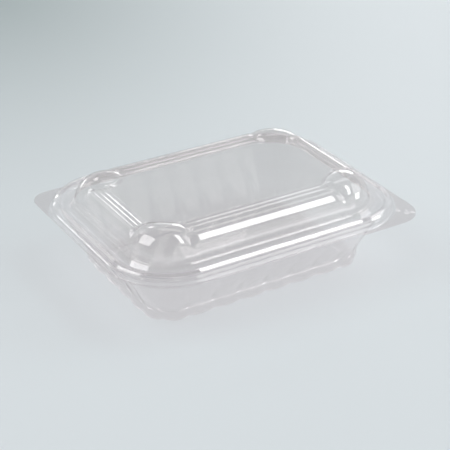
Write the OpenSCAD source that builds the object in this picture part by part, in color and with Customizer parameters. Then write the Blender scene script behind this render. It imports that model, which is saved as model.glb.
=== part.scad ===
// Clear side dish container: a fluted tray and a domed press-on lid, each formed from one thin sheet.
// +X runs along the long side, +Z is up, and the origin is the middle of the tray's foot on the table.
// Loops round the container are offsets of the mouth line, the outer edge of the ledge at the dome's foot.

/* [Mouth line] */
// Length of the mouth line
mouth_len = 140; // [120:1:180]
// Width of the mouth line
mouth_wid = 101; // [90:1:130]
// Corner radius of the mouth line
mouth_r = 23; // [20:1:28]
// Height of the mouth line above the table
mouth_h = 34.4; // [25:0.1:50]

/* [Sheet] */
// Thickness of the formed sheet
sheet = 0.35; // [0.25:0.05:0.5]
// Clear gap between the closed lid and the tray
fit_gap = 0.3; // [0.2:0.05:0.4]

/* [Lid rim] */
// Width of the ledge at the foot of the dome
ledge_w = 1; // [0.6:0.1:1.4]
// Offset of the plug channel's inner floor edge from the mouth line
channel_in = 2.6; // [2:0.1:3.2]
// Offset of the plug channel's outer floor edge from the mouth line
channel_out = 5.4; // [4.6:0.1:5.8]
// Depth of the plug channel below the mouth line
channel_depth = 2.2; // [1.5:0.1:3]
// Offset of the crest of the rim bead from the mouth line
bead_at = 7.6; // [7.2:0.1:8]
// Height of the bead's crest above the mouth line
bead_rise = 1.6; // [1.2:0.1:2]
// Width of the bead's rounded inner side
bead_w = 0.9; // [0.6:0.1:1.2]
// Offset of the brow, where the bead turns down into the skirt, from the mouth line
brow_at = 9.1; // [8.7:0.1:9.7]
// Height of the brow above the mouth line
brow_rise = 0.8; // [0.5:0.1:1]
// Offset of the skirt's top edge from the mouth line
skirt_at = 11.2; // [10.8:0.1:12]
// Drop of the skirt's top edge below the mouth line
skirt_drop = 1.7; // [1.4:0.1:2]
// How far the skirt's foot stands out past its top edge
skirt_flare = 0.1; // [0:0.05:0.4]
// Drop of the lip at the foot of the skirt below the mouth line
lip_drop = 3.7; // [3.2:0.1:5]
// Height of the bend between the skirt and its lip
lip_rise = 0.2; // [0.1:0.05:0.3]
// Width of the lip
lip_w = 0.9; // [0.6:0.1:2]

/* [Dome] */
// Height of the flat panel's edge above the mouth line
dome_h = 11; // [8:0.5:16]
// Distance of the panel's edge from the mouth line at the short sides
panel_in_x = 8; // [7:0.1:10]
// Distance of the panel's edge from the mouth line at the long sides
panel_in_y = 12.5; // [11:0.1:14]
// Width of the flat crest round the panel, at the short sides
crest_w = 1.2; // [0.8:0.1:1.6]
// Distance from each step of the panel to the next, at the short sides
step_pitch = 2.8; // [2.2:0.1:3.2]
// Width of the slope of each step, at the short sides
step_w = 0.9; // [0.6:0.1:1.2]
// Height that the panel falls at each step
step_h = 0.3; // [0.15:0.05:0.4]
// Width of the steps at the long sides as a multiple of that at the short sides
step_long = 1.4; // [1:0.1:1.6]
// Width of the steps round the corner notches as a share of that at the short sides
step_notch = 0.25; // [0.2:0.05:0.4]
// Distance of the centre of each corner notch from both mouth lines
notch_in = 14; // [13:0.5:15]
// Radius of the notch that each corner lobe cuts into the panel
notch_r = 14; // [12:0.5:15]
// Height of the corner lobes above the mouth line
lobe_h = 13.6; // [12:0.1:18]
// How far each lobe runs on past the corner curve
lobe_lead = 4; // [2:0.5:6]

/* [Tray] */
// Offset of the wall's foot from the mouth line, inwards
foot_in = 6.2; // [4:0.1:9]
// Height of the ledge above the foot
foot_band = 5; // [3:0.5:8]
// Width of the ledge above the foot
foot_ledge = 0.8; // [0.5:0.1:1.5]
// Radius under the foot
foot_r = 1.2; // [0.8:0.1:2]
// Width of the ring that the tray stands on
ring_w = 5; // [3:0.5:8]
// Height of the floor above the ring
floor_lift = 0.8; // [0.4:0.1:1.5]
// Number of flutes on each long side
flutes_long = 6; // [4:1:8]
// Number of flutes on each short side
flutes_short = 4; // [3:1:6]
// Depth of the flutes at the foot
flute_depth = 1.5; // [0.5:0.1:2.5]
// Plain stretch between the last flute of a long side and the corner curve
flute_end = 2; // [1:0.5:4]
// Width of the tray's flange outside its rim
flange_w = 1.2; // [1:0.1:2]

/* [Tabs] */
// Tip radius of the tray's tab
tray_tip_r = 10.5; // [6:0.5:14]
// Tip radius of the lid's tab
lid_tip_r = 15; // [10:0.5:18]
// How far the lid's tab stands out past the lip
lid_tab_out = 1.8; // [0.5:0.1:3]

/* [Hidden] */
clear_plastic = [0.86, 0.89, 0.90, 0.45];
// centres of the corner curves
cx = mouth_len / 2 - mouth_r;
cy = mouth_wid / 2 - mouth_r;
// upper face of the lid to upper face of the tray, square to both
nest = sheet + fit_gap;
// stations round the container
arc_steps = 12;
flute_steps = 4;
lid_long_steps = 6;
lid_short_steps = 4;
// rings up the dome's shoulder, how far a lobe's section turns, and the number of steps round the panel
dome_steps = 7;
lobe_turn = 125;
panel_steps = 3;
lid_tab_corner = 3;
tray_tab_corner = 1;

function mix(a, b, t) = a + (b - a) * t;
function unit(v) = v / max(norm(v), 1e-9);
function flat(rows) = [for (row = rows) each row];
function turn(v, q) = [v[0] * cos(90 * q) - v[1] * sin(90 * q), v[0] * sin(90 * q) + v[1] * cos(90 * q)];
function corner_centre(q) = [(q == 0 || q == 3 ? 1 : -1) * cx, (q < 2 ? 1 : -1) * cy];
// half length of the straight side that leads into corner q
function side_half(q) = q % 2 == 0 ? cy : cx;

// A station is [x, y, angle, phase, corner, share]: a point on the line through the corner centres, the
// outward direction there, the place within a flute, the corner's number or -1, and the share of it.
function side_stations(q, half, steps, per) =
    let (mid = (corner_centre(q) + corner_centre((q + 3) % 4)) / 2, along = turn([0, 1], q))
    [for (j = [0:steps - 1])
        let (p = mid + along * mix(-half, half, j / steps))
        [p[0], p[1], 90 * q, (j % per) / per, -1, 0]];

// Corner q runs over a lead on the side before it, the curve, and a lead on the side after it.
// bumps is the number of flutes in the corner, and run_r the radius that their lengths are taken on.
function corner_stations(q, lead_a, lead_b, bumps, run_r) =
    let (c = corner_centre(q), along_a = turn([0, 1], q), along_b = turn([0, 1], q + 1),
         arc = run_r * PI / 2, total = lead_a + arc + lead_b,
         runs = concat(lead_a > 0 ? [[c - along_a * lead_a, 90 * q, 0]] : [],
                       [for (j = [0:arc_steps - (lead_b > 0 ? 0 : 1)])
                           [c, 90 * (q + j / arc_steps), lead_a + arc * j / arc_steps]]))
    [for (s = runs)
        let (share = s[2] / total, f = share * bumps)
        [s[0][0], s[0][1], s[1], f - floor(f), q, share]];

// the loop of stations of each piece, anticlockwise from the +X side
tray_stations = [for (q = [0:3])
    each concat(
        q % 2 == 0 ? side_stations(q, cy, flutes_short * flute_steps, flute_steps)
                   : side_stations(q, cx - flute_end, flutes_long * flute_steps, flute_steps),
        corner_stations(q, q % 2 == 0 ? 0 : flute_end, q % 2 == 0 ? flute_end : 0, 2, mouth_r - foot_in))];
lid_stations = [for (q = [0:3])
    each concat(
        side_stations(q, side_half(q) - lobe_lead, q % 2 == 0 ? lid_short_steps : lid_long_steps, 1),
        corner_stations(q, lobe_lead, lobe_lead, 1, mouth_r))];

// the point of a loop at offset d from the mouth line
function loop_at(s, d, z) = [s[0] + (mouth_r + d) * cos(s[2]), s[1] + (mouth_r + d) * sin(s[2]), z];

// distance from a corner centre to a square corner of half side half_side with a tip of radius tip
function tab_reach(half_side, tip, a) =
    let (c = abs(cos(a)), s = abs(sin(a)), m = half_side - tip, hi = max(c, s), lo = min(c, s))
    half_side * lo / hi <= m ? half_side / hi
                             : m * (c + s) + sqrt(max(0, pow(m * (c + s), 2) - 2 * m * m + tip * tip));

// An edge loop whose corner q is a square tab that stands out by out. Stations crowd towards the tip, and
// the tab blends into the plain edge over the first and last part of the corner.
function edge_at(s, d, z, q, out, tip) = s[4] != q ? loop_at(s, d, z) :
    let (t = 2 * (s[2] / 90 - q) - 1, a = 90 * q + 45 * (1 + sign(t) * pow(abs(t), 1.6)),
         blend = min(1, min(s[5], 1 - s[5]) / 0.06),
         reach = tab_reach(mouth_r + d + out * blend, tip, a - 90 * q))
    [s[0] + reach * cos(a), s[1] + reach * sin(a), z];

// A thin sheet whose upper face runs through rings of points, from the outer edge to a flat middle.
module formed_sheet(rings) {
    n = len(rings[0]);
    k = len(rings);
    normals = [for (i = [0:k - 1]) [for (j = [0:n - 1])
        unit(cross(rings[i][(j + 1) % n] - rings[i][(j + n - 1) % n],
                   rings[min(i + 1, k - 1)][j] - rings[max(i - 1, 0)][j]))]];
    under = [for (i = [0:k - 1]) [for (j = [0:n - 1]) rings[i][j] - sheet * normals[i][j]]];
    middle = [0, 0, rings[k - 1][0][2]];
    points = concat(flat(rings), flat(under), [middle, middle - [0, 0, sheet]]);
    m = n * k;
    upper = [for (i = [0:k - 2]) for (j = [0:n - 1])
        let (a = i * n + j, b = i * n + (j + 1) % n)
        each [[a + n, b + n, b], [a + n, b, a]]];
    lower = [for (f = upper) [f[2] + m, f[1] + m, f[0] + m]];
    edge = [for (j = [0:n - 1])
        let (a = j, b = (j + 1) % n)
        each [[a, b, b + m], [a, b + m, a + m]]];
    caps = [for (j = [0:n - 1])
        let (a = m - n + j, b = m - n + (j + 1) % n)
        each [[2 * m, b, a], [2 * m + 1, a + m, b + m]]];
    polyhedron(points = points, faces = concat(upper, lower, edge, caps), convexity = 8);
}

// The lid's rim, from its lip in to the dome's foot, as [offset, height above the mouth line].
lip_at = skirt_at + skirt_flare;
lid_rim = [
    [lip_at + lip_w, -lip_drop],
    [lip_at, lip_rise - lip_drop],
    [skirt_at, -skirt_drop],
    [brow_at, brow_rise],
    [bead_at, bead_rise],
    [bead_at - bead_w, bead_rise - bead_w / 8],
    [channel_out, -channel_depth],
    [channel_in, -channel_depth],
    [0, 0],
    [-ledge_w, 0]
];

// Edge of the panel, drawn in by e: straight sides, and a notch round each corner lobe.
panel_x = mouth_len / 2 - panel_in_x;
panel_y = mouth_wid / 2 - panel_in_y;
notch_x = mouth_len / 2 - notch_in;
notch_y = mouth_wid / 2 - notch_in;
function notch_rad(e) = notch_r + step_notch * e;
function notch_end(e, q) = q % 2 == 0
    ? 270 + asin((panel_x - e - notch_x) / notch_rad(e))
    : 180 + asin((notch_y - panel_y + step_long * e) / notch_rad(e));
function panel_at(s, e, z) =
    let (q = s[4], r = notch_rad(e))
    q < 0 ?
        (s[2] % 180 == 0
            ? let (y_end = notch_y + r * sin(notch_end(e, 0)))
              [cos(s[2]) * (panel_x - e), s[1] / (cy - lobe_lead) * y_end, z]
            : let (x_end = notch_x + r * cos(notch_end(e, 1)))
              [s[0] / (cx - lobe_lead) * x_end, sin(s[2]) * (panel_y - step_long * e), z])
    : let (share = q % 2 == 0 ? s[5] : 1 - s[5],
           a = mix(notch_end(e, 0), notch_end(e, 1), share),
           c = corner_centre(q))
      [sign(c[0]) * (notch_x + r * cos(a)), sign(c[1]) * (notch_y + r * sin(a)), z];

// the steps round the panel, as [distance in at the short sides, height above the panel's edge]
panel_rim = [for (i = [0:panel_steps - 1])
    each [[crest_w + i * step_pitch, -i * step_h],
          [crest_w + i * step_pitch + step_w, -(i + 1) * step_h]]];

// how much of the lobe's own section a station has: none on the sides, all in mid corner
function lobe_share(s) = s[4] < 0 ? 0 : pow(max(0, 1 - pow(2 * s[5] - 1, 2)), 2);

// the shoulder between the dome's foot and the panel: a quarter ellipse that turns on over a lobe
function shoulder_at(s, t) =
    let (w = lobe_share(s), last = mix(90, lobe_turn, w), a = last * t,
         reach = (1 - cos(a)) / (1 - cos(last)),
         foot = loop_at(s, -ledge_w, 0), top = panel_at(s, 0, 0), p = mix(foot, top, reach))
    [p[0], p[1], mouth_h + mix(dome_h, lobe_h, w) * sin(a)];

module lid() {
    lip = lid_rim[0];
    edge = [for (s = lid_stations)
        edge_at(s, lip[0], mouth_h + lip[1], lid_tab_corner, lid_tab_out, lid_tip_r)];
    rim = [for (i = [1:len(lid_rim) - 1])
        [for (s = lid_stations) loop_at(s, lid_rim[i][0], mouth_h + lid_rim[i][1])]];
    shoulder = [for (i = [1:dome_steps]) [for (s = lid_stations) shoulder_at(s, i / dome_steps)]];
    panel = [for (p = panel_rim) [for (s = lid_stations) panel_at(s, p[0], mouth_h + dome_h + p[1])]];
    color(clear_plastic) formed_sheet(concat([edge], rim, shoulder, panel));
}

// The tray's rim, from its flange in to the top of the wall. It lies under the lid's rim, moved square to
// each of its slopes by the same distance.
function beside(a, b) = let (v = unit(b - a)) [-v[1], v[0]];
function nested(chain, i) =
    let (m = beside(chain[i - 1], chain[i]), n = beside(chain[i], chain[i + 1]))
    chain[i] + (m + n) * nest / (1 + m * n);
wall_top = [channel_out + nest, mouth_h - channel_depth - sheet];
flange_z = mouth_h - lip_drop - nest;
tray_rim = [[nested(lid_rim, 1)[0], flange_z], for (i = [2:5]) nested(lid_rim, i) + [0, mouth_h], wall_top];

// depth of the flutes at height z, and the wall's offset at a station
wall_foot = [-foot_in - sheet - foot_ledge, foot_band + foot_ledge];
function flute_at(z) = flute_depth * min(1, max(0, 1 - z / wall_top[1]));
function scallop(s) = pow(2 * s[3] - 1, 2);
function fluted(s, d, z) = loop_at(s, d - flute_at(z) * scallop(s), z);

module tray() {
    flange = [for (s = tray_stations)
        edge_at(s, tray_rim[0][0] + flange_w, flange_z, tray_tab_corner, 0, tray_tip_r)];
    rim = [for (p = tray_rim) [for (s = tray_stations) loop_at(s, p[0], p[1])]];
    wall = [for (t = [1 / 3, 2 / 3, 1])
        let (p = mix(wall_top, wall_foot, t)) [for (s = tray_stations) fluted(s, p[0], p[1])]];
    foot = [
        [for (s = tray_stations) fluted(s, -foot_in - sheet, foot_band)],
        [for (s = tray_stations) fluted(s, -foot_in - sheet, foot_r + sheet)],
        [for (s = tray_stations) fluted(s, -foot_in - sheet - foot_r, sheet)]
    ];
    floor_in = foot_in + sheet + foot_r + flute_depth + ring_w;
    base = [
        [for (s = tray_stations) loop_at(s, -floor_in, sheet)],
        [for (s = tray_stations) loop_at(s, -floor_in - floor_lift, sheet + floor_lift)]
    ];
    color(clear_plastic) formed_sheet(concat([flange], rim, wall, foot, base));
}

tray();
lid();
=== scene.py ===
"""Clear side dish container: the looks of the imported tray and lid.

Each piece is one thin formed sheet. Its upper face runs through rings of points, from the cut edge in to
the flat middle, and its under face lies one sheet thickness below. Sizes are in millimetres until a mesh
is made.
"""
import math
import bpy
import numpy as np
from mathutils import Matrix, Vector


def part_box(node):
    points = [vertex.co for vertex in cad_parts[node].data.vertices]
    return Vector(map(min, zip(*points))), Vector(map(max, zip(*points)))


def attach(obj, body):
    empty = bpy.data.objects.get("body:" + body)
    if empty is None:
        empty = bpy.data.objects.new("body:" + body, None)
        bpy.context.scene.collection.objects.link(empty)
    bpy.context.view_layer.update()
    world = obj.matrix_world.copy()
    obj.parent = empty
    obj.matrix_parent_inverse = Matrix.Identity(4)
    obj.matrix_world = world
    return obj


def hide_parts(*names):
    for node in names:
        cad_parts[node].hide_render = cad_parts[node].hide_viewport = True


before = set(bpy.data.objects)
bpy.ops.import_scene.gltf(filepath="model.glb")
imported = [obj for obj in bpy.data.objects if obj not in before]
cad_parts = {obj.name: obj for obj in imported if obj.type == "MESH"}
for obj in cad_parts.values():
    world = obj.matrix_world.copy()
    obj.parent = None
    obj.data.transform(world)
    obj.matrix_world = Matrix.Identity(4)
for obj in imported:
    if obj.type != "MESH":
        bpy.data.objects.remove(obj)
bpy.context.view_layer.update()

MM = 0.001
SHEET = 0.35
# the most of a side that the easing at one of its ends may take
EASE_SHARE = 0.45

# the lid's rim, as offsets from the mouth line and heights above it
SKIRT_AT = 10.75
SKIRT_DROP = 1.7
SKIRT_FLARE = 0.55
LIP_DROP = 3.7
LIP_RISE = 0.2
LIP_W = 0.9
BROW_AT = 9.1
BROW_RISE = 0.8
KNEE_AT = 10.2
KNEE_DROP = 0.3
BEAD_AT = 7.6
BEAD_RISE = 1.6
BEAD_W = 0.9
BEAD_TILT = 0.125
CHANNEL_OUT = 5.4
CHANNEL_IN = 2.2
CHANNEL_DEPTH = 2.2
LEDGE_W = 1.0
LEDGE_LIFT = 0.17
# how far each inner point of the lid's rim is eased, from the lip in
LID_RIM_EASES = [0.3, 0.3, 0.2, 0.5, 0.7, 0.5, 0.5, 0.5, 1.2]

# the lid's dome: its shoulder, the lobes at its corners, and the stepped panel
DOME_H = 11.0
LOBE_H = 13.6
LOBE_LEAD = 4.0
LOBE_TURN = 125.0
LOBE_SPAN = 0.86
LOBE_FALL = 1.15
SHOULDER_RINGS = 30
PANEL_IN_X = 8.0
PANEL_IN_Y = 12.5
PANEL_LIP = 0.4
PANEL_RUN = 1.5
PANEL_SAG = 0.5
PANEL_SHARES = (0.85, 0.6, 0.3, 0.1)
CREST_W = 1.2
STEP_PITCH = 2.8
STEP_W = 0.9
STEP_HS = (0.3, 0.3, 0.18)
STEP_EASE = 0.25
STEP_LONG = 1.4
STEP_NOTCH = 0.25
NOTCH_IN = 14.0
NOTCH_R = 14.0

# the tray
FIT_GAP = 0.3
NEST = SHEET + FIT_GAP
TRAY_RIM_EASES = [0.3, 0.3, 0.2, 0.4, 0.6, 0.4]
WALL_RINGS = 14
WALL_END = 0.96
FOOT_IN = 6.2
FOOT_BAND = 5.0
FOOT_LEDGE = 0.8
FOOT_R = 1.2
RING_W = 5.0
FLOOR_LIFT = 0.8
FLOOR_RUN = 1.0
FLOOR_EASE = 0.5
FLOOR_SHARES = (0.8, 0.5, 0.2)
FLUTE_DEPTH = 1.5
FLUTE_END = 2.0
FLANGE_W = 1.2

# the tabs: the corner each is at, counted anticlockwise from +X +Y, and the radius of its tip
TRAY_TAB = 1
TRAY_TIP_R = 10.5
LID_TAB = 3
LID_TIP_R = 15.0
LID_TAB_OUT = 1.8
# share of a corner's run over which a tab grows out of the rim, and how its stations crowd at the tip
TAB_BLEND = 0.06
TAB_CROWD = 1.6
# how far past the skirt's foot the flanges and tabs begin
FLANGE_ROOT = 0.5
# where the rings of each flange lie, from its cut edge to that root
LID_FLANGE_SHARES = (0, 0.01, *np.linspace(0.07, 0.95, 15))
TRAY_FLANGE_SHARES = (0, 0.01, 0.15, 0.3, 0.45, 0.6, 0.75, 0.9)
# dimples in the lid's tab: where, how wide and how deep
DIMPLES = [
    (75.0, -51.6, 0.8, 0.7),
    (78.5, -54.5, 0.7, 0.5),
    (76.8, -56.4, 0.7, 0.5),
    (80.4, -57.2, 0.8, 0.5)
]

# stations along each side and round each corner, and the tray's flutes there
LID_STATIONS = {"long": 24, "short": 18, "corner": 84}
PLAIN = {"long": 1, "short": 1, "corner": 1}
TRAY_STATIONS = {"long": 96, "short": 64, "corner": 36}
FLUTES = {"long": 6, "short": 4, "corner": 2}

# the mouth line, where the lid's dome meets its rim, from the frame's own boxes
lid_low, lid_high = (np.array(c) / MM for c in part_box("lid"))
MOUTH_H = lid_high[2] - LOBE_H
MOUTH_R = 23.0
LIP_AT = SKIRT_AT + SKIRT_FLARE
HALF_X = -lid_low[0] - (LIP_AT + LIP_W)
HALF_Y = lid_high[1] - (LIP_AT + LIP_W)
CX = HALF_X - MOUTH_R
CY = HALF_Y - MOUTH_R
CORNERS = [(CX, CY), (-CX, CY), (-CX, -CY), (CX, -CY)]

PANEL_X = HALF_X - PANEL_IN_X
PANEL_Y = HALF_Y - PANEL_IN_Y
NOTCH_X = HALF_X - NOTCH_IN
NOTCH_Y = HALF_Y - NOTCH_IN

# the lid's rim from its lip in to the foot of the dome
LID_RIM = [
    (LIP_AT + LIP_W, -LIP_DROP),
    (LIP_AT, -LIP_DROP + LIP_RISE),
    (SKIRT_AT, -SKIRT_DROP),
    (KNEE_AT, -KNEE_DROP),
    (BROW_AT, BROW_RISE),
    (BEAD_AT, BEAD_RISE),
    (BEAD_AT - BEAD_W, BEAD_RISE - BEAD_W * BEAD_TILT),
    (CHANNEL_OUT, -CHANNEL_DEPTH),
    (CHANNEL_IN, -CHANNEL_DEPTH),
    (0, 0),
    (-LEDGE_W, LEDGE_LIFT)
]
# how many of its points, from the lip in, the tray's rim nests under
NESTED_POINTS = 8


def mix(a, b, t):
    return a + (b - a) * t


def cosd(a):
    return np.cos(np.radians(a))


def sind(a):
    return np.sin(np.radians(a))


class Loop:
    """Stations round the container, anticlockwise from the +X side. Each has a point on the rectangle of
    the corner centres, the outward direction, the place within a flute, the corner or -1, and the share of
    that corner."""

    def __init__(self, leads, steps, flutes, run_r):
        rows = []
        for q in range(4):
            rows += self.side(q, leads, steps, flutes)
            rows += self.corner(q, leads, steps["corner"], flutes["corner"], run_r)
        self.x, self.y, self.angle, self.phase, self.q, self.share = np.array(rows).T

    @staticmethod
    def side(q, leads, steps, flutes):
        name = "short" if q % 2 == 0 else "long"
        half = (CY if q % 2 == 0 else CX) - leads[name]
        (ax, ay), (bx, by) = CORNERS[q - 1], CORNERS[q]
        along = (-sind(90 * q), cosd(90 * q))
        rows = []
        for j in range(steps[name]):
            t = j / steps[name]
            p = mix(-half, half, t)
            rows.append(((ax + bx) / 2 + along[0] * p, (ay + by) / 2 + along[1] * p,
                         90.0 * q, (t * flutes[name]) % 1, -1, 0))
        return rows

    @staticmethod
    def corner(q, leads, steps, bumps, run_r):
        before, after = ("short", "long") if q % 2 == 0 else ("long", "short")
        arc = run_r * math.pi / 2
        total = leads[before] + arc + leads[after]
        cx, cy = CORNERS[q]
        rows = []
        for j in range(steps):
            share = j / steps
            run = share * total - leads[before]
            turned = min(max(run / arc, 0), 1)
            lead = min(run, 0) + max(run - arc, 0)
            a = 90 * (q + turned)
            rows.append((cx - sind(a) * lead, cy + cosd(a) * lead, a, (share * bumps) % 1, q, share))
        return rows

    def at(self, d, z):
        """The loop at offset d from the mouth line and height z. Either may differ between stations."""
        return np.stack([self.x + (MOUTH_R + d) * cosd(self.angle),
                         self.y + (MOUTH_R + d) * sind(self.angle),
                         np.broadcast_to(z, self.x.shape)], -1)


def tab_reach(half_side, tip, a):
    """Distance from a corner centre to a square corner of half side half_side with a tip of radius tip."""
    c, s, m = np.abs(cosd(a)), np.abs(sind(a)), half_side - tip
    high, low = np.maximum(c, s), np.minimum(c, s)
    curved = m * (c + s) + np.sqrt(np.maximum(0, (m * (c + s)) ** 2 - 2 * m * m + tip * tip))
    return np.where(half_side * low / high <= m, half_side / high, curved)


def edge_loop(loop, d, z, q, out, tip):
    """An edge loop whose corner q is a tab. Stations crowd towards the tip."""
    ring = loop.at(d, z)
    here = loop.q == q
    t = 2 * (loop.angle / 90 - q) - 1
    a = 90 * q + 45 * (1 + np.sign(t) * np.abs(t) ** TAB_CROWD)
    grown = np.clip(np.minimum(loop.share, 1 - loop.share) / TAB_BLEND, 0, 1)
    reach = tab_reach(MOUTH_R + d + out * grown, tip, a - 90 * q)
    ring[here, 0] = (loop.x + reach * cosd(a))[here]
    ring[here, 1] = (loop.y + reach * sind(a))[here]
    return ring


def rounded(points, radii, steps=5):
    """A chain of [offset, height] points with each inner corner eased over about its radius."""
    points = [np.array(p, float) for p in points]
    out = [points[0]]
    for before, p, after, r in zip(points, points[1:], points[2:], radii):
        a, b = before - p, after - p
        la, lb = np.linalg.norm(a), np.linalg.norm(b)
        a, b = a / la, b / lb
        half = math.acos(np.clip(np.dot(a, b), -1, 1)) / 2
        reach = min(r / max(math.tan(half), 1e-3), EASE_SHARE * la, EASE_SHARE * lb)
        for i in range(steps + 1):
            t = i / steps
            out.append(p + a * reach * (1 - t) ** 2 + b * reach * t ** 2)
    out.append(points[-1])
    return out


def sheet_faces(n, k):
    """Faces of a closed sheet of k rings of n points, upper points first, then under, then two middles."""
    m = n * k
    faces = []
    for i in range(k - 1):
        for j in range(n):
            a, b = i * n + j, i * n + (j + 1) % n
            faces.append((a, b, b + n, a + n))
            faces.append((m + a, m + a + n, m + b + n, m + b))
    for j in range(n):
        a, b = j, (j + 1) % n
        faces.append((b, a, m + a, m + b))
        a, b = m - n + j, m - n + (j + 1) % n
        faces.append((a, b, 2 * m))
        faces.append((m + b, m + a, 2 * m + 1))
    return faces


def formed_sheet(name, rings):
    """A closed thin sheet whose upper face runs through rings, from the cut edge to a flat middle."""
    grid = np.array(rings)
    k, n, _ = grid.shape
    around = np.roll(grid, -1, 1) - np.roll(grid, 1, 1)
    inward = np.gradient(grid, axis=0)
    normals = np.cross(around, inward)
    normals /= np.maximum(np.linalg.norm(normals, axis=2, keepdims=True), 1e-9)
    under = grid - SHEET * normals
    middle = np.array([0, 0, grid[-1, :, 2].mean()])
    verts = np.concatenate([grid.reshape(-1, 3), under.reshape(-1, 3),
                            [middle, middle - [0, 0, SHEET]]]) * MM
    mesh = bpy.data.meshes.new(name)
    mesh.from_pydata(verts.tolist(), [], sheet_faces(n, k))
    mesh.polygons.foreach_set("use_smooth", [True] * len(mesh.polygons))
    mesh.update()
    piece = bpy.data.objects.new(name, mesh)
    bpy.context.scene.collection.objects.link(piece)
    return piece


# The lid

def panel_profile():
    """The steps round the panel: [distance in at the short sides, height above the panel's edge]."""
    points = [(PANEL_LIP, 0)]
    for i, drop in enumerate(STEP_HS):
        start, z = CREST_W + i * STEP_PITCH, points[-1][1]
        points += [(start, z), (start + STEP_W, z - drop)]
    points.append((points[-1][0] + PANEL_RUN, points[-1][1]))
    return rounded(points, [STEP_EASE] * (2 * len(STEP_HS)), 4)


def panel_loop(loop, e, z):
    """Edge of the panel, drawn in by e: straight sides, and a round notch at each corner lobe."""
    r = NOTCH_R + STEP_NOTCH * e
    side_x, side_y = PANEL_X - e, PANEL_Y - STEP_LONG * e
    end_short = 270 + np.degrees(math.asin((side_x - NOTCH_X) / r))
    end_long = 180 + np.degrees(math.asin((NOTCH_Y - side_y) / r))
    short = loop.angle % 180 == 0
    x = np.where(short, cosd(loop.angle) * side_x,
                 loop.x / (CX - LOBE_LEAD) * (NOTCH_X + r * cosd(end_long)))
    y = np.where(short, loop.y / (CY - LOBE_LEAD) * (NOTCH_Y + r * sind(end_short)),
                 sind(loop.angle) * side_y)
    corner = loop.q >= 0
    share = np.where(loop.q % 2 == 0, loop.share, 1 - loop.share)
    a = mix(end_short, end_long, share)
    sign_x = np.where((loop.q == 0) | (loop.q == 3), 1, -1)
    sign_y = np.where(loop.q < 2, 1, -1)
    x = np.where(corner, sign_x * (NOTCH_X + r * cosd(a)), x)
    y = np.where(corner, sign_y * (NOTCH_Y + r * sind(a)), y)
    return np.stack([x, y, np.broadcast_to(z, x.shape)], -1)


def lobe_share(loop):
    """How much of a lobe's own section each station has: none on the sides, all in mid corner."""
    across = (2 * loop.share - 1) / LOBE_SPAN
    return np.where(loop.q < 0, 0, np.maximum(0, 1 - across ** 2) ** LOBE_FALL)


def shoulder_loop(loop, t):
    """The shoulder between the mouth line and the panel: a quarter ellipse that turns on over a lobe."""
    w = lobe_share(loop)
    last = mix(90, LOBE_TURN, w)
    a = last * t
    reach = ((1 - cosd(a)) / (1 - cosd(last)))[:, None]
    ring = mix(loop.at(-LEDGE_W, LEDGE_LIFT), panel_loop(loop, 0, 0), reach)
    ring[:, 2] = MOUTH_H + mix(DOME_H, LOBE_H, w) * sind(a)
    return ring


def dimpled(ring):
    """A ring of the lid's tab with its dimples pressed down."""
    ring = ring.copy()
    for x, y, wide, deep in DIMPLES:
        far = np.hypot(ring[:, 0] - x, ring[:, 1] - y)
        ring[:, 2] -= deep * np.exp(-(far / wide) ** 2)
    return ring


def lid_rings(loop):
    edge = edge_loop(loop, LIP_AT + LIP_W, MOUTH_H - LIP_DROP, LID_TAB, LID_TAB_OUT, LID_TIP_R)
    root_d, root_z = LIP_AT + FLANGE_ROOT, -LIP_DROP + LIP_RISE / 2
    root = loop.at(root_d, MOUTH_H + root_z)
    rings = [dimpled(mix(edge, root, t)) for t in LID_FLANGE_SHARES]
    rim = rounded([(root_d, root_z)] + LID_RIM[1:], LID_RIM_EASES)
    rings += [loop.at(d, MOUTH_H + z) for d, z in rim]
    rings += [shoulder_loop(loop, t) for t in np.linspace(0, 1, SHOULDER_RINGS)[1:]]
    top = MOUTH_H + DOME_H
    rings += [panel_loop(loop, e, top + z) for e, z in panel_profile()]
    panel_edge = rings[-1]
    for t in PANEL_SHARES:
        ring = panel_edge * [t, t, 1]
        ring[:, 2] -= PANEL_SAG * (1 - t) ** 2
        rings.append(ring)
    return rings


def make_lid():
    loop = Loop({"long": LOBE_LEAD, "short": LOBE_LEAD}, LID_STATIONS, PLAIN, MOUTH_R)
    return formed_sheet("clear_lid", lid_rings(loop))


# The tray

def scallops(loop, z, wall_top):
    """How far the flutes draw the wall in, at height z."""
    deep = FLUTE_DEPTH * min(1, max(0, 1 - z / wall_top))
    return deep * (2 * loop.phase - 1) ** 2


def nested(chain, gap):
    """The inner points of a chain of [offset, height] points, moved under it by gap, square to its sides."""
    points = [np.array(p, float) for p in chain]
    moved = []
    for before, p, after in zip(points, points[1:], points[2:]):
        a = (p - before) / np.linalg.norm(p - before)
        b = (after - p) / np.linalg.norm(after - p)
        n = np.array([-a[1] - b[1], a[0] + b[0]])
        moved.append(p + n * gap / (1 + np.dot(a, b)))
    return moved


def foot_chain(wall_top, wall_foot, foot_d):
    """The foot, from low on the wall over its ledge and band to the ring that the tray stands on."""
    return rounded([
        mix(np.array(wall_top), np.array(wall_foot), WALL_END),
        wall_foot,
        (foot_d, FOOT_BAND),
        (foot_d, SHEET),
        (foot_d - RING_W / 2, SHEET)
    ], [FOOT_LEDGE, FOOT_LEDGE, FOOT_R])


def floor_chain(floor_d):
    """The step from the ring up to the raised floor."""
    return rounded([
        (floor_d + FLOOR_LIFT, SHEET),
        (floor_d, SHEET),
        (floor_d - FLOOR_LIFT, SHEET + FLOOR_LIFT),
        (floor_d - FLOOR_LIFT - FLOOR_RUN, SHEET + FLOOR_LIFT)
    ], [FLOOR_EASE, FLOOR_EASE])


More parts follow.
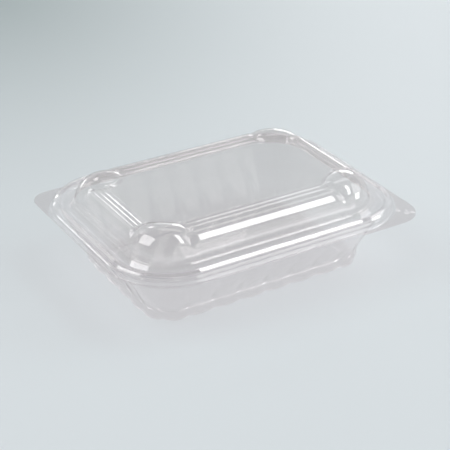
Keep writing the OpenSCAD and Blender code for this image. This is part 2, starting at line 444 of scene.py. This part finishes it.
def tray_rings(loop):
    rim = nested(LID_RIM[:NESTED_POINTS], NEST)
    rim_out, flange_z = rim[0][0], -LIP_DROP - NEST
    rim[0] = np.array([rim_out, flange_z])
    edge = edge_loop(loop, rim_out + FLANGE_W, MOUTH_H + flange_z, TRAY_TAB, 0, TRAY_TIP_R)
    root_d = rim_out + FLANGE_ROOT
    root = loop.at(root_d, MOUTH_H + flange_z)
    rings = [mix(edge, root, t) for t in TRAY_FLANGE_SHARES]
    wall_top = (CHANNEL_OUT + NEST, MOUTH_H - CHANNEL_DEPTH - SHEET)
    wall_foot = (-FOOT_IN - SHEET - FOOT_LEDGE, FOOT_BAND + FOOT_LEDGE)
    foot_d = -FOOT_IN - SHEET
    rim_points = [(root_d, MOUTH_H + flange_z)] + [(d, MOUTH_H + z) for d, z in rim]
    profile = rounded(rim_points + [wall_top], TRAY_RIM_EASES)
    wall = np.linspace(0, 1, WALL_RINGS)[1:-1]
    profile += [mix(np.array(wall_top), np.array(wall_foot), t) for t in wall]
    profile += foot_chain(wall_top, wall_foot, foot_d)
    rings += [loop.at(d - scallops(loop, z, wall_top[1]), z) for d, z in profile]
    floor_d = foot_d - FOOT_R - FLUTE_DEPTH - RING_W
    rings += [loop.at(d, z) for d, z in floor_chain(floor_d)]
    floor_edge = rings[-1]
    rings += [floor_edge * [t, t, 1] for t in FLOOR_SHARES]
    return rings


def make_tray():
    loop = Loop({"long": FLUTE_END, "short": 0}, TRAY_STATIONS, FLUTES, MOUTH_R - FOOT_IN)
    return formed_sheet("clear_tray", tray_rings(loop))


# Materials

# share of light that one face of clear polyester mirrors head on, and the share that a slant adds
HEAD_ON = 0.049
GLANCE = 0.6
GLANCE_POWER = 5.0
# slants between which the mirror fades towards the outline, and what is left of it there
FADE_FROM = 0.72
FADE_TO = 0.87
FADE_REST = 0.12
# what one face lets through where the sheet lies flat
TRAY_TONE = (0.984, 0.98, 0.98)
LID_TONE = (0.951, 0.943, 0.94)
# the same edge on, where light runs a long way inside the sheet
SLANT_TONE = (0.8, 0.79, 0.795)
SLANT_POWER = 13.0
# the same on the rims, a lighter tone past the mouth line, and how soon past it
RIM_TONE = (0.986, 0.983, 0.984)
RIM_OVER = 2.0
# the same for the tabs, a darker tone past the lid's lip
TAB_TONE = (0.945, 0.925, 0.925)
TAB_OVER = 0.6
# what one face lets through of the lamps' light, which sets the tone of the shadow
SHADOW_TONE = (0.953, 0.938, 0.938)
HAZE = 0.05
HAZE_TONE = (0.84, 0.82, 0.83)
GLOSS_ROUGHNESS = 0.04
RIPPLE_SCALE = 90
RIPPLE_STRENGTH = 0.05
TRAY_RIPPLE = 1.0
LID_RIPPLE = 4.0

# the table: its tone in the dark far corner, where its darkening is painted shade, and away from it, and
# where that is, in metres
TABLE_DARK = (0.299, 0.351, 0.353)
TABLE_PALE = (0.682, 0.724, 0.744)
DARK_AT = (0.06, 0.444, 0)
DARK_SIZE = (0.36, 0.58, 1)
DARK_FROM = -0.55
DARK_TO = 1.1
TABLE_ROUGHNESS = 0.7
TABLE_SPECULAR = 0.1

# the camera's bearing and height over the table, in degrees, and its place over the mouth line
CAMERA_AZ = 31.20
CAMERA_EL = 28.54
CAMERA_AT = (-319.0, -529.6, 320.5)
FOCAL_PX = 1342.86
IMAGE_PX = 450
SENSOR_W = 36


def material(name):
    mat = bpy.data.materials.new(name)
    mat.use_nodes = True
    nodes, links = mat.node_tree.nodes, mat.node_tree.links
    nodes.clear()
    out = nodes.new("ShaderNodeOutputMaterial")
    return mat, nodes, links, out


def maths(nodes, links, operation, *values):
    """A Math node; a value is a number or a socket."""
    node = nodes.new("ShaderNodeMath")
    node.operation = operation
    for i, value in enumerate(values):
        if isinstance(value, (int, float)):
            node.inputs[i].default_value = value
        else:
            links.new(value, node.inputs[i])
    return node.outputs[0]


def mix_shaders(nodes, links, share, first, second):
    node = nodes.new("ShaderNodeMixShader")
    if isinstance(share, (int, float)):
        node.inputs["Fac"].default_value = share
    else:
        links.new(share, node.inputs["Fac"])
    links.new(first.outputs[0], node.inputs[1])
    links.new(second.outputs[0], node.inputs[2])
    return node


def mix_tones(nodes, links, share, first, second):
    """Mix of two tones, where the first is a colour or another node's output."""
    node = nodes.new("ShaderNodeMix")
    node.data_type = "RGBA"
    if isinstance(first, tuple):
        node.inputs["A"].default_value = (*first, 1)
    else:
        links.new(first, node.inputs["A"])
    node.inputs["B"].default_value = (*second, 1)
    links.new(share, node.inputs["Factor"])
    return node.outputs["Result"]


def rim_reach(nodes, links, coords):
    """Distance in mm from the rectangle of the corner centres. It is the same all along an offset line."""
    place = coords.outputs["Object"]
    for operation, value in (("ABSOLUTE", (0, 0, 0)), ("SUBTRACT", (CX * MM, CY * MM, 0)),
                             ("MAXIMUM", (0, 0, 0)), ("MULTIPLY", (1 / MM, 1 / MM, 0))):
        step = nodes.new("ShaderNodeVectorMath")
        step.operation = operation
        step.inputs[1].default_value = value
        links.new(place, step.inputs[0])
        place = step.outputs["Vector"]
    far = nodes.new("ShaderNodeVectorMath")
    far.operation = "LENGTH"
    links.new(place, far.inputs[0])
    return far.outputs["Value"]


def beyond(nodes, links, reach, offset, over):
    """Nought up to an offset from the mouth line, rising to one over a short way past it."""
    mask = nodes.new("ShaderNodeMapRange")
    mask.inputs["From Min"].default_value = MOUTH_R + offset
    mask.inputs["From Max"].default_value = MOUTH_R + offset + over
    links.new(reach, mask.inputs["Value"])
    return mask.outputs[0]


def ripple_bump(nodes, links, coords, seed):
    """The faint ripple that forming leaves in a sheet."""
    ripple = nodes.new("ShaderNodeTexNoise")
    ripple.noise_dimensions = "4D"
    ripple.inputs["W"].default_value = seed
    ripple.inputs["Scale"].default_value = RIPPLE_SCALE
    ripple.inputs["Detail"].default_value = 1
    links.new(coords.outputs["Object"], ripple.inputs["Vector"])
    bump = nodes.new("ShaderNodeBump")
    bump.inputs["Strength"].default_value = RIPPLE_STRENGTH
    bump.inputs["Distance"].default_value = MM
    links.new(ripple.outputs["Fac"], bump.inputs["Height"])
    return bump.outputs["Normal"]


def mirror_share(nodes, links, facing):
    """Share of light mirrored: it grows with the slant, and fades again at the very outline."""
    glancing = maths(nodes, links, "POWER", facing, GLANCE_POWER)
    mirror = maths(nodes, links, "MULTIPLY_ADD", glancing, GLANCE, HEAD_ON)
    fade = nodes.new("ShaderNodeMapRange")
    fade.interpolation_type = "SMOOTHSTEP"
    fade.inputs["From Min"].default_value = FADE_FROM
    fade.inputs["From Max"].default_value = FADE_TO
    fade.inputs["To Min"].default_value = 1.0
    fade.inputs["To Max"].default_value = FADE_REST
    links.new(facing, fade.inputs["Value"])
    return maths(nodes, links, "MULTIPLY", mirror, fade.outputs[0])


def through_tone(nodes, links, coords, facing, flat_tone):
    """What a face lets through, by its slant, lighter on the rims past the mouth line and darker on the
    tabs.
    """
    reach = rim_reach(nodes, links, coords)
    # a lighter tone on the rims, just past the mouth line
    drawn = beyond(nodes, links, reach, 0.0, RIM_OVER)
    tone = mix_tones(nodes, links, drawn, flat_tone, RIM_TONE)
    slant = maths(nodes, links, "POWER", facing, SLANT_POWER)
    tone = mix_tones(nodes, links, slant, tone, SLANT_TONE)
    tab = beyond(nodes, links, reach, LIP_AT + LIP_W, TAB_OVER)
    return mix_tones(nodes, links, tab, tone, TAB_TONE)


def clear_plastic(name, flat_tone, seed):
    """Clear polyester sheet: each face mirrors a share of the light and lets the rest through with a
    slight grey haze."""
    mat, nodes, links, out = material(name)
    coords = nodes.new("ShaderNodeTexCoord")
    normal = ripple_bump(nodes, links, coords, seed)
    weight = nodes.new("ShaderNodeLayerWeight")
    weight.inputs["Blend"].default_value = 0.5
    links.new(normal, weight.inputs["Normal"])
    facing = weight.outputs["Facing"]
    clear = nodes.new("ShaderNodeBsdfTransparent")
    links.new(through_tone(nodes, links, coords, facing, flat_tone), clear.inputs["Color"])
    front = nodes.new("ShaderNodeBsdfDiffuse")
    front.inputs["Color"].default_value = (*HAZE_TONE, 1)
    back = nodes.new("ShaderNodeBsdfTranslucent")
    back.inputs["Color"].default_value = (*HAZE_TONE, 1)
    milk = mix_shaders(nodes, links, 0.5, front, back)
    body = mix_shaders(nodes, links, HAZE, clear, milk)
    gloss = nodes.new("ShaderNodeBsdfGlossy")
    gloss.inputs["Color"].default_value = (1, 1, 1, 1)
    gloss.inputs["Roughness"].default_value = GLOSS_ROUGHNESS
    links.new(normal, gloss.inputs["Normal"])
    sheet = mix_shaders(nodes, links, mirror_share(nodes, links, facing), body, gloss)
    through = nodes.new("ShaderNodeBsdfTransparent")
    through.inputs["Color"].default_value = (*SHADOW_TONE, 1)
    path = nodes.new("ShaderNodeLightPath")
    lit = mix_shaders(nodes, links, path.outputs["Is Shadow Ray"], sheet, through)
    links.new(lit.outputs[0], out.inputs["Surface"])
    return mat


def floor_material():
    """Pale table whose tone falls off towards one far corner: painted shade."""
    mat, nodes, links, out = material("pale_table")
    coords = nodes.new("ShaderNodeTexCoord")
    slide = nodes.new("ShaderNodeMapping")
    slide.vector_type = "TEXTURE"
    slide.inputs["Location"].default_value = DARK_AT
    slide.inputs["Rotation"].default_value = (0, 0, math.radians(-CAMERA_AZ))
    slide.inputs["Scale"].default_value = DARK_SIZE
    links.new(coords.outputs["Object"], slide.inputs["Vector"])
    away = nodes.new("ShaderNodeVectorMath")
    away.operation = "LENGTH"
    links.new(slide.outputs[0], away.inputs[0])
    ramp = nodes.new("ShaderNodeMapRange")
    ramp.interpolation_type = "SMOOTHERSTEP"
    ramp.inputs["From Min"].default_value = DARK_FROM
    ramp.inputs["From Max"].default_value = DARK_TO
    links.new(away.outputs["Value"], ramp.inputs["Value"])
    # painted shade: the table darkens towards one far corner
    tone = mix_tones(nodes, links, ramp.outputs[0], TABLE_DARK, TABLE_PALE)
    table = nodes.new("ShaderNodeBsdfPrincipled")
    table.inputs["Roughness"].default_value = TABLE_ROUGHNESS
    table.inputs["Specular IOR Level"].default_value = TABLE_SPECULAR
    links.new(tone, table.inputs["Base Color"])
    links.new(table.outputs[0], out.inputs["Surface"])
    return mat


# Stage, lamps and camera

# in metres: the table's size, how far it lies under the foot, and how far away the lamps are
TABLE_SIZE = 6
TABLE_GAP = 0.05 * MM
LAMP_FAR = 2.5
# each lamp's name, its direction from the container, its width and height in degrees, and its radiance
LAMPS = [
    ("strip_over", (0.4815, -0.1, 0.87), 10, 30, 6.5),
    ("softbox_left", (-0.6, 0.3, 0.74), 34, 34, 3.5),
    ("softbox_right", (0.82, -0.06, 0.57), 26, 30, 2.0),
    ("rim_right", (0.81, -0.38, 0.45), 16, 16, 6.0),
    ("fill_front", (0.455, -0.71, 0.53), 34, 34, 0.6),
    ("fill_low", (0.455, -0.82, 0.3), 34, 12, 0.4),
    ("low_front", (0.48, -0.87, 0.125), 30, 12, 1.7),
    ("low_far", (-0.05, 0.99, 0.08), 16, 8, 3.0),
    ("low_back", (0.51, 0.86, 0.09), 10, 7, 1.25),
    ("low_right", (0.665, 0.73, 0.15), 17, 14, 3.9),
    ("high_back", (0.455, 0.5, 0.73), 30, 10, 1.3),
    ("far_left", (-0.17, 0.81, 0.56), 18, 14, 0.8),
    ("high_left", (0.18, 0.8, 0.575), 9, 9, 3.6)
]
# tone of the room at each height, as the sine of the elevation
ROOM_TONES = [(-0.1, 0.75), (0.12, 0.8), (0.36, 0.5), (0.55, 0.3), (1.0, 0.2)]
ROOM_TINT = (0.97, 1.0, 1.02)
# how many sheets a ray may pass through
MAX_BOUNCES = 24


def make_floor():
    bpy.ops.mesh.primitive_plane_add(size=TABLE_SIZE, location=(0, 0, -TABLE_GAP))
    floor = bpy.context.object
    floor.name = "table"
    floor.data.materials.append(floor_material())


def softbox(name, toward, across, high, radiance):
    """A flat lamp facing the container from the given direction. Its width runs as near to the X axis as
    it can."""
    lamp = bpy.data.lights.new(name, "AREA")
    lamp.shape = "RECTANGLE"
    lamp.size = 2 * LAMP_FAR * math.tan(math.radians(across / 2))
    lamp.size_y = 2 * LAMP_FAR * math.tan(math.radians(high / 2))
    lamp.energy = radiance * math.pi * lamp.size * lamp.size_y
    obj = bpy.data.objects.new(name, lamp)
    out = Vector(toward).normalized()
    right = (Vector((1, 0, 0)) - out * out.x).normalized()
    place = Matrix.Translation(Vector((0, 0, MOUTH_H * MM)) + out * LAMP_FAR)
    turn = Matrix((right, out.cross(right), out)).transposed().to_4x4()
    obj.matrix_world = place @ turn
    bpy.context.scene.collection.objects.link(obj)


def make_room():
    """The room: a pale band at the height of the table's edge, and a darker ceiling."""
    world = bpy.data.worlds.new("room")
    world.use_nodes = True
    bpy.context.scene.world = world
    nodes, links = world.node_tree.nodes, world.node_tree.links
    sky = nodes["Background"]
    coords = nodes.new("ShaderNodeTexCoord")
    split = nodes.new("ShaderNodeSeparateXYZ")
    links.new(coords.outputs["Generated"], split.inputs[0])
    height = maths(nodes, links, "MULTIPLY_ADD", split.outputs["Z"], 0.5, 0.5)
    ramp = nodes.new("ShaderNodeValToRGB")
    ramp.color_ramp.interpolation = "EASE"
    links.new(height, ramp.inputs["Fac"])
    stops = ramp.color_ramp.elements
    while len(stops) < len(ROOM_TONES):
        stops.new(0.5)
    for stop, (z, tone) in zip(stops, ROOM_TONES):
        stop.position = (z + 1) / 2
        stop.color = (*(tone * tint for tint in ROOM_TINT), 1)
    links.new(ramp.outputs["Color"], sky.inputs["Color"])
    sky.inputs["Strength"].default_value = 1.0


def make_camera():
    data = bpy.data.cameras.new("camera")
    data.sensor_width = SENSOR_W
    data.lens = FOCAL_PX / IMAGE_PX * data.sensor_width
    data.clip_start = 0.01
    obj = bpy.data.objects.new("camera", data)
    x, y, z = CAMERA_AT
    obj.location = (x * MM, y * MM, (z + MOUTH_H) * MM)
    level = cosd(CAMERA_EL)
    look = Vector((sind(CAMERA_AZ) * level, cosd(CAMERA_AZ) * level, -sind(CAMERA_EL)))
    obj.rotation_euler = look.to_track_quat("-Z", "Y").to_euler()
    bpy.context.scene.collection.objects.link(obj)
    bpy.context.scene.camera = obj


def dress(piece, node, mat):
    """Give a piece its material and put it in place of its CAD node."""
    piece.data.materials.append(mat)
    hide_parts(node)
    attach(piece, node)


make_floor()
make_room()
for lamp in LAMPS:
    softbox(*lamp)
make_camera()
dress(make_tray(), "tray", clear_plastic("tray_sheet", TRAY_TONE, TRAY_RIPPLE))
dress(make_lid(), "lid", clear_plastic("lid_sheet", LID_TONE, LID_RIPPLE))

scene = bpy.context.scene
scene.view_settings.view_transform = "Standard"
scene.cycles.max_bounces = MAX_BOUNCES
scene.cycles.transmission_bounces = MAX_BOUNCES
scene.cycles.transparent_max_bounces = MAX_BOUNCES
